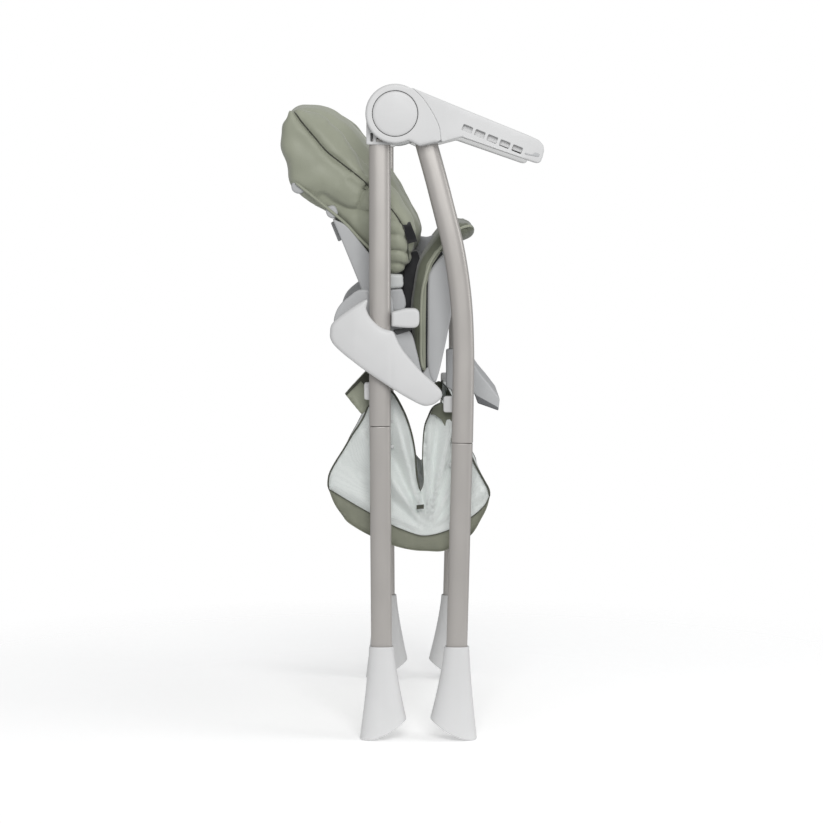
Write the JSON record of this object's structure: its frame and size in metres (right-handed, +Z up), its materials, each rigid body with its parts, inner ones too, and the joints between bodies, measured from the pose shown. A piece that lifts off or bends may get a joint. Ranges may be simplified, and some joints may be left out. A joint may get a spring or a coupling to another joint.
{
  "type": "baby swing",
  "caption": "Folded baby seat on an A-frame: round hubs, slotted rail arms, sliding padded seat, footrest, flared feet and a hanging storage basket.",
  "frame": {"origin": "bottom centre of the bounding box, on the floor between the four feet", "axes": "+X to the front, where the rail arms point; +Y to the seated child's left; +Z up"},
  "size_m": [0.3772, 0.5772, 0.943],
  "materials": {
    "leg_paint": "satin warm grey paint",
    "light_plastic": "fine-grained light grey moulding",
    "shell_plastic": "mid grey moulding",
    "bare_steel": "bare steel",
    "sage_cover": "smooth sage green coated cloth with seams",
    "webbing": "woven webbing",
    "basket_mesh": "white open mesh",
    "basket_cloth": "darker sage cloth"
  },
  "bodies": {
    "front_frame": {"hub_housing_right": "light_plastic", "hub_housing_left": "light_plastic", "rail_arm_right": "light_plastic", "rail_arm_left": "light_plastic", "hub_axle_right": "bare_steel", "hub_axle_left": "bare_steel", "release_spring_right": "bare_steel", "release_spring_left": "bare_steel", "front_leg_upper_right": "leg_paint", "front_leg_upper_left": "leg_paint", "front_leg_lower_right": "leg_paint", "front_leg_lower_left": "leg_paint", "front_foot_right": "light_plastic", "front_foot_left": "light_plastic", "front_cross_tube": "leg_paint", "front_basket_clip_right": "light_plastic", "front_basket_clip_left": "light_plastic", "basket_sides": "basket_mesh", "basket_base": "basket_cloth"},
    "rear_frame": {"hub_core_right": "shell_plastic", "hub_core_left": "shell_plastic", "rear_leg_upper_right": "leg_paint", "rear_leg_upper_left": "leg_paint", "rear_leg_lower_right": "leg_paint", "rear_leg_lower_left": "leg_paint", "rear_foot_right": "light_plastic", "rear_foot_left": "light_plastic", "rear_cross_tube": "leg_paint", "rear_basket_clip_right": "light_plastic", "rear_basket_clip_left": "light_plastic"},
    "release_right": {"release_cap_right": "light_plastic", "lock_gear_right": "bare_steel"},
    "release_left": {"release_cap_left": "light_plastic", "lock_gear_left": "bare_steel"},
    "carriage": {"slider_cover_right": "light_plastic", "slider_cover_left": "light_plastic", "slider_sleeve_right": "shell_plastic", "slider_sleeve_left": "shell_plastic", "slider_plate_right": "shell_plastic", "slider_plate_left": "shell_plastic", "backrest_axle": "bare_steel", "seat_axle": "bare_steel"},
    "lever_right": {"height_lever_right": "light_plastic"},
    "lever_left": {"height_lever_left": "light_plastic"},
    "backrest": {"backrest_shell": "shell_plastic", "backrest_cushion": "sage_cover", "shoulder_strap_right": "webbing", "shoulder_strap_left": "webbing"},
    "recline_grip": {"recline_handle": "shell_plastic"},
    "seat_pan": {"seat_shell": "shell_plastic", "seat_cushion": "sage_cover", "crotch_strap": "webbing", "harness_buckle": "light_plastic", "footrest_axle": "bare_steel"},
    "footrest_board": {"footrest": "shell_plastic"}
  },
  "joints": [
    {"name": "frame_fold", "type": "hinge", "parent": "front_frame", "child": "rear_frame", "pos_m": [-0.022, 0, 0.901], "axis": [0, 1, 0], "range_deg": [0, 45], "deforming": ["basket_sides", "basket_base"]},
    {"name": "seat_height", "type": "slide", "parent": "rear_frame", "child": "carriage", "axis": [0, 0, 1], "range_m": [0, 0.15]},
    {"name": "backrest_recline", "type": "hinge", "parent": "carriage", "child": "backrest", "pos_m": [-0.037, 0, 0.554], "axis": [0, -1, 0], "range_deg": [0, 40]},
    {"name": "seat_pan_fold", "type": "hinge", "parent": "carriage", "child": "seat_pan", "pos_m": [0.016, 0, 0.516], "axis": [0, 1, 0], "range_deg": [0, 50]},
    {"name": "footrest_fold", "type": "hinge", "parent": "seat_pan", "child": "footrest_board", "pos_m": [0.07, 0, 0.702], "axis": [0, -1, 0], "range_deg": [0, 95]},
    {"name": "release_press_right", "type": "slide", "parent": "front_frame", "child": "release_right", "axis": [0, 1, 0], "range_m": [0, 0.004], "stiffness_N_per_m": 900, "springref_m": -0.004, "deforming": ["release_spring_right"]},
    {"name": "release_press_left", "type": "slide", "parent": "front_frame", "child": "release_left", "axis": [0, -1, 0], "range_m": [0, 0.004], "stiffness_N_per_m": 900, "springref_m": -0.004, "deforming": ["release_spring_left"]},
    {"name": "lever_pull_right", "type": "slide", "parent": "carriage", "child": "lever_right", "axis": [0, 0, 1], "range_m": [0, 0.008], "stiffness_N_per_m": 500, "springref_m": -0.004},
    {"name": "lever_pull_left", "type": "slide", "parent": "carriage", "child": "lever_left", "axis": [0, 0, 1], "range_m": [0, 0.008], "stiffness_N_per_m": 500, "springref_m": -0.004},
    {"name": "recline_pull", "type": "slide", "parent": "backrest", "child": "recline_grip", "axis": [-0.3714, 0, 0.9285], "range_m": [0, 0.008], "stiffness_N_per_m": 500, "springref_m": -0.004}
  ]
}
